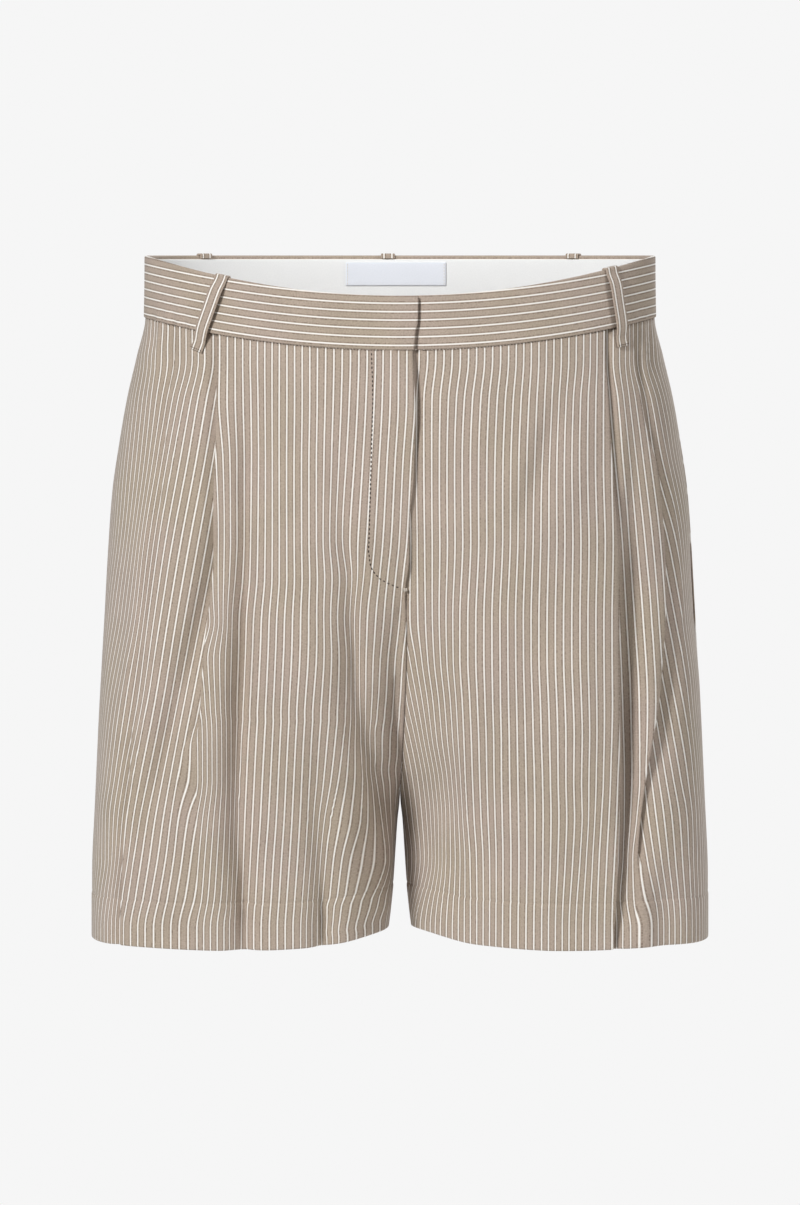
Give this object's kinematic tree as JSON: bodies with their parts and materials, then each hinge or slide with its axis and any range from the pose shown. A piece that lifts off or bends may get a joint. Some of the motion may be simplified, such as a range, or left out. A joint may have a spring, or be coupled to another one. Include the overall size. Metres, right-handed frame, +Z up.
{
  "type": "bermuda shorts",
  "caption": "Pinstriped bermuda shorts with pleated fronts, side pockets, fly and a waistband with belt loops, filled out as when worn and open at the waist and hems.",
  "frame": {"origin": "middle of the waist opening, level with the waistband's top at the side seams", "axes": "+Z up along the body, +Y from front to back, +X towards the wearer's left"},
  "size_m": [0.4316, 0.2572, 0.4772],
  "materials": {
    "suiting": "matte pinstriped weave",
    "facing": "matte plain weave",
    "label": "satin woven tape",
    "zip_tape": "matte woven tape",
    "pocketing": "matte plain weave"
  },
  "bodies": {
    "root": {"front_left": "suiting", "front_right": "suiting", "back_left": "suiting", "back_right": "suiting", "waistband_front_left": "suiting", "waistband_front_right": "suiting", "waistband_back": "suiting", "facing_front_left": "facing", "facing_front_right": "facing", "facing_back": "facing", "label": "label", "zip": "zip_tape", "fly_shield": "suiting", "pocket_bag_left": "pocketing", "pocket_bag_right": "pocketing", "belt_loop_front_left": "suiting", "belt_loop_front_right": "suiting", "belt_loop_back_left": "suiting", "belt_loop_back_centre": "suiting", "belt_loop_back_right": "suiting"}
  },
  "joints": []
}
